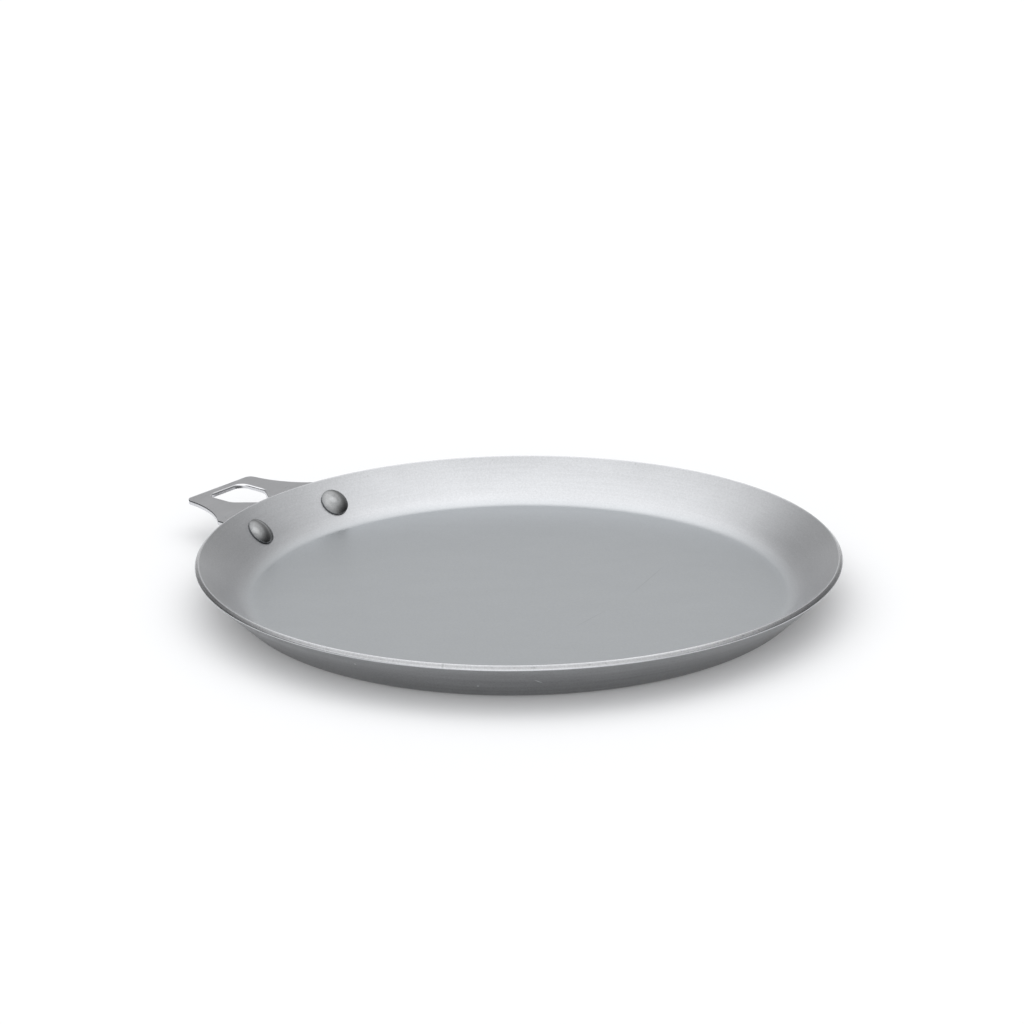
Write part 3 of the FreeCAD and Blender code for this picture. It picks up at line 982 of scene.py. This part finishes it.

# Painted highlight on the sheared sides, over the punch's upright lines.
side_painted_highlight = sums(stainless, "MULTIPLY", side, vary(stainless, punched, 2.6, 3.4))
tone = sums(stainless, "ADD", vary(stainless, milled, 0, 0.45), vary(stainless, tumbled, 0, 0.25))
tone = sums(stainless, "ADD", tone, vary(stainless, cloud, 0, 0.3))
tone = layered(stainless, tone, ((side_painted_highlight, 1), (rolled, 3.0), (dull_band_painted_shade, -7.0)))
fill(stainless, shader.inputs["Base Color"], two_tone(stainless, tone, *STAINLESS_GREYS))

rough = sums(
    stainless, "ADD", vary(stainless, tumbled, 0.28, 0.36), vary(stainless, cloud, -0.02, 0.02))
rough = layered(stainless, rough, ((side, -0.06), (rolled, -0.14), (dull_band_painted_shade, 0.3)))
fill(stainless, shader.inputs["Roughness"], rough)
relief = layered(stainless, sums(stainless, "ADD", milled, tumbled), ((side, punched),))
bump = add(stainless, "Bump", {"Height": relief, "Strength": 1.0, "Distance": STAINLESS_BUMP})
fill(stainless, shader.inputs["Normal"], bump)
print(f"{stainless.name}: {len(stainless.node_tree.nodes)} nodes")

# %% [markdown]
# ### Rivet steel
# Rivets are cold headed in a die and left as they come: a slightly coarse grey skin with small
# dents. The skirt of the head is painted darker than its crown, a painted shade, and the crease
# where it meets the wall has more painted shade, so the last half millimetre is darkest. It is also
# the dullest. Both are found by the distance out through the wall.

# %% Headed steel
RIVET_GREYS = ((0.24, 0.245, 0.25), (0.36, 0.365, 0.37))
RIVET_BUMP = 0.02 * MM

headed, shader = new_finish("rivet_steel_headed")
place = own_place(headed)
out = from_rim(headed, place, WALL_OUT)
dents = marks(headed, place, (1.5 * MM,) * 3, detail=3)
skin = marks(headed, place, (0.45 * MM,) * 3, detail=3)
crease_painted_shade = spread(headed, out, -0.5 * MM, -0.15 * MM, 0, 1)
skirt_painted_shade = spread(headed, out, -1.7 * MM, -0.7 * MM, 0, 1)

tone = sums(headed, "ADD", vary(headed, dents, 0.1, 0.4), vary(headed, skin, 0.1, 0.4))
# Painted shade on the skirt and in the crease.
tone = layered(headed, tone, ((crease_painted_shade, -0.7), (skirt_painted_shade, -1.0)))
fill(headed, shader.inputs["Base Color"], two_tone(headed, tone, *RIVET_GREYS))
rough = layered(headed, vary(headed, skin, 0.1, 0.18), ((crease_painted_shade, 0.2),))
fill(headed, shader.inputs["Roughness"], rough)
relief = layered(headed, dents, ((skin, 0.35),))
bump = add(headed, "Bump", {"Height": relief, "Strength": 1.0, "Distance": RIVET_BUMP})
fill(headed, shader.inputs["Normal"], bump)
print(f"{headed.name}: {len(headed.node_tree.nodes)} nodes")

# %% Put the finishes on
for piece, finish in (
        (pan_body, steel), (bracket, stainless), (rivet_left, headed), (rivet_right, headed)):
    piece.data.materials.clear()
    piece.data.materials.append(finish)
    print(f"{piece.name}: {finish.name}")

# %% [markdown]
# ## The pieces take their places
#
# Every piece rides on the one body of the frame, and stands for its own node, which is hidden.

# %% Ride and replace
for piece, node, slot in (
        (pan_body, "pan_body", "carbon_steel"),
        (bracket, "handle_bracket", "bracket_steel"),
        (rivet_left, "rivet_left", "rivet_steel"),
        (rivet_right, "rivet_right", "rivet_steel")):
    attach(piece, "root")
    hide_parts(node)

# %% [markdown]
# ## The studio
#
# The pan stands on plain white paper, which bounces a good deal of light up into its own shadow.
# The floor could simply be whiter, but white paper is about as pale as anything gets. So the floor
# has a faint glow of its own, for the camera and for reflections only, and lights nothing.

# %% The floor
FLOOR_SIZE = 40
FLOOR_WHITE = (0.7, 0.705, 0.715, 1)
FLOOR_GLOW = 0.14

bpy.ops.object.select_all(action="DESELECT")
bpy.ops.mesh.primitive_plane_add(size=FLOOR_SIZE)
floor = bpy.context.object
floor.name = "studio_floor"
white, paper = new_finish("studio_white")
paper.inputs["Metallic"].default_value = 0
paper.inputs["Base Color"].default_value = FLOOR_WHITE
paper.inputs["Roughness"].default_value = 0.9
paper.inputs["Emission Color"].default_value = (1, 1, 1, 1)
rays = white.node_tree.nodes.new("ShaderNodeLightPath").outputs
seen = sums(white, "MAXIMUM", rays["Is Camera Ray"], rays["Is Glossy Ray"])
fill(white, paper.inputs["Emission Strength"], sums(white, "MULTIPLY", seen, FLOOR_GLOW))
floor.data.materials.append(white)
print(f"{floor.name}: {FLOOR_SIZE} m across")

# %% [markdown]
# The camera stands a little above the rim and far off, with a long lens, so the pan is a slim
# oval. It aims at the pan's middle, and is then turned to put it beside the frame's centre.

# %% The camera
CAMERA_DISTANCE = 1.25182
CAMERA_AZIMUTH = math.radians(126.685)
CAMERA_ELEVATION = math.radians(19.853)
CAMERA_ROLL = math.radians(-0.668)
FOCAL_PIXELS = 2867.998
FRAME_PIXELS = 1024
PAN_CENTRE_PIXEL = (519.15, 594.43)
SENSOR_WIDTH = 36

backwards = Vector((
    math.cos(CAMERA_ELEVATION) * math.cos(CAMERA_AZIMUTH),
    math.cos(CAMERA_ELEVATION) * math.sin(CAMERA_AZIMUTH),
    math.sin(CAMERA_ELEVATION)))
aim = Vector((
    (PAN_CENTRE_PIXEL[0] - FRAME_PIXELS / 2) / FOCAL_PIXELS,
    (FRAME_PIXELS / 2 - PAN_CENTRE_PIXEL[1]) / FOCAL_PIXELS,
    -1))
turn = (-backwards).to_track_quat("-Z", "Y")
turn = turn @ Quaternion((0, 0, 1), CAMERA_ROLL)
turn = turn @ aim.rotation_difference(Vector((0, 0, -1)))
bpy.ops.object.camera_add(location=backwards * CAMERA_DISTANCE, rotation=turn.to_euler())
camera = bpy.context.object
camera.data.sensor_width = SENSOR_WIDTH
camera.data.lens = FOCAL_PIXELS / FRAME_PIXELS * SENSOR_WIDTH
camera.data.clip_start = 0.01
bpy.context.scene.camera = camera
print("camera at", [round(value, 4) for value in camera.location], "m")

# %% [markdown]
# ## The light
#
# Bare metal shows the room more than itself, so the room matters as much as the finish. The
# studio has a wide soft light overhead, a narrow lit backdrop behind the pan, dark sides and a
# pale wall at the camera's end. Lamps with their own edges could do that, but the soft room is
# painted on the world instead. Its brightness goes by the height of a direction above the floor,
# on four ramps, one for each side of the room. Powers of the compass direction's cosine blend
# them into each other.

# %% Compass directions of the room
scene = bpy.context.scene
scene.view_settings.view_transform = "Standard"
room = bpy.data.worlds.new("studio_room")
room.use_nodes = True
scene.world = room
direction = add(room, "TexCoord", {}, output="Generated")
compass = add(room, "VectorMath", {0: level_part(room, direction)}, operation="NORMALIZE")


def towards(ray, heading):
    """Cosine between a direction and where the light comes from."""
    return add(room, "VectorMath", {0: ray, 1: heading}, output="Value", operation="DOT_PRODUCT")


ahead = -Vector((*backwards.xy, 0)).normalized()
rightwards = Vector((ahead.y, -ahead.x, 0))
behind = sums(room, "POWER", sums(room, "MAXIMUM", towards(compass, ahead), 0), 4)
before = sums(room, "POWER", sums(room, "MAXIMUM", towards(compass, -ahead), 0), 2)
beside = sums(room, "SUBTRACT", sums(room, "SUBTRACT", 1, behind), before)
on_right = sums(room, "GREATER_THAN", towards(compass, rightwards), 0)
right = sums(room, "MULTIPLY", beside, on_right)
left = sums(room, "SUBTRACT", beside, right)
print("camera looks along", [round(value, 3) for value in ahead])

# %% A soft studio painted on the world
ROOM_HEIGHTS = (0, 10, 20, 30, 38, 46, 56, 70, 90)
BACKDROP = (0.46, 0.6, 0.34, 0.32, 0.55, 0.74, 0.87, 0.99, 1)
RIGHT_SIDE = (0.04, 0.04, 0.09, 0.26, 0.52, 0.62, 0.72, 1, 1)
CAMERA_END = (1, 1, 0.95, 0.85, 0.8, 0.88, 1, 1, 1)
LEFT_SIDE = (0, 0, 0.05, 0.4, 0.79, 0.98, 0.97, 1, 1)

lift = add(room, "Math", {0: height_above(room, direction)}, operation="ARCSINE")
lift = spread(room, lift, 0, math.pi / 2, 0, 1)
brightness = 0.0
for shades, share in (
        (BACKDROP, behind), (RIGHT_SIDE, right), (CAMERA_END, before), (LEFT_SIDE, left)):
    ramp = room.node_tree.nodes.new("ShaderNodeValToRGB")
    fill(room, ramp.inputs["Fac"], lift)
    while len(ramp.color_ramp.elements) < len(shades):
        ramp.color_ramp.elements.new(1)
    for element, degrees, shade in zip(ramp.color_ramp.elements, ROOM_HEIGHTS, shades):
        element.position = degrees / 90
        element.color = (shade, shade, shade, 1)
    shown = sums(room, "MULTIPLY", ramp.outputs["Color"], share)
    brightness = sums(room, "ADD", shown, brightness)
print("room heights:", ROOM_HEIGHTS)

# %% [markdown]
# One round lamp hangs high on the right, weak and with a soft edge. It is there for the rivets,
# whose smooth crowns show it as a pale spot. On the satin sheet it is too blurred to make out.

# %% The lamp, and the level of the whole room
TOP_LIGHT = 1.7
LAMP_HEIGHT = math.radians(60)
LAMP_ASIDE = math.radians(85)
LAMP_SHARE = 0.27
LAMP_EDGE = (math.radians(15), math.radians(10))

lamp_heading = ahead * math.cos(LAMP_ASIDE) + rightwards * math.sin(LAMP_ASIDE)
lamp_place = lamp_heading * math.cos(LAMP_HEIGHT) + Vector((0, 0, math.sin(LAMP_HEIGHT)))
outer_edge, inner_edge = (math.cos(edge) for edge in LAMP_EDGE)
lamp = spread(room, towards(direction, lamp_place), outer_edge, inner_edge, 0, LAMP_SHARE)
brightness = sums(room, "MULTIPLY", sums(room, "ADD", brightness, lamp), TOP_LIGHT)
glow = room.node_tree.nodes["Background"].inputs
glow["Color"].default_value = (1, 1, 1, 1)
fill(room, glow["Strength"], brightness)
print("lamp towards", [round(value, 3) for value in lamp_place])
